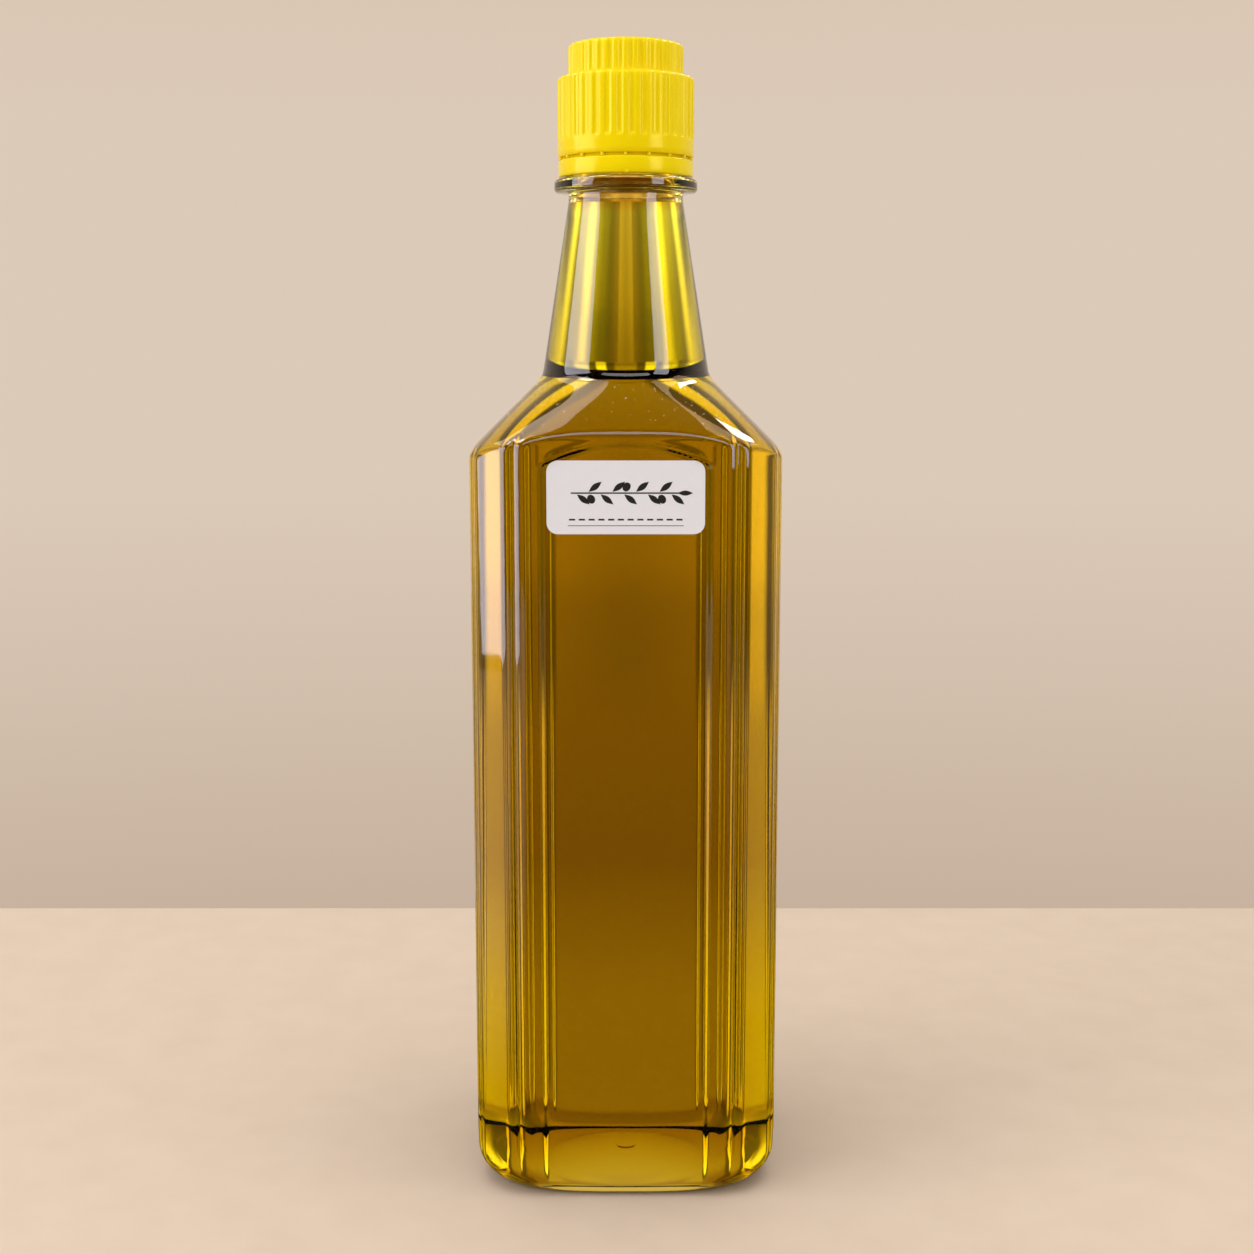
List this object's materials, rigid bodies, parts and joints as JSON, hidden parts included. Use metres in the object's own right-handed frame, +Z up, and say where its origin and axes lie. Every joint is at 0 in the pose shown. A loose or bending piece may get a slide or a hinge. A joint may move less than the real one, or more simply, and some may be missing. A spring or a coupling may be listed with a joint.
{
  "type": "olive oil bottle",
  "caption": "Filled clear plastic olive oil bottle with arched face panels, beaded corners, a stepped ribbed screw cap and a small paper label.",
  "frame": {"origin": "middle of the base, on the plane that the bottle stands on", "axes": "+Z up along the neck, the labelled front towards -Y, +X to the viewer's right"},
  "size_m": [0.079, 0.0692, 0.2953],
  "materials": {
    "bottle_pet": "gloss",
    "olive_oil": "gloss",
    "cap_yellow": "gloss",
    "label_paper": "matte"
  },
  "bodies": {
    "root": {"bottle": "bottle_pet", "oil": "olive_oil", "cap": "cap_yellow", "label": "label_paper"}
  },
  "joints": []
}
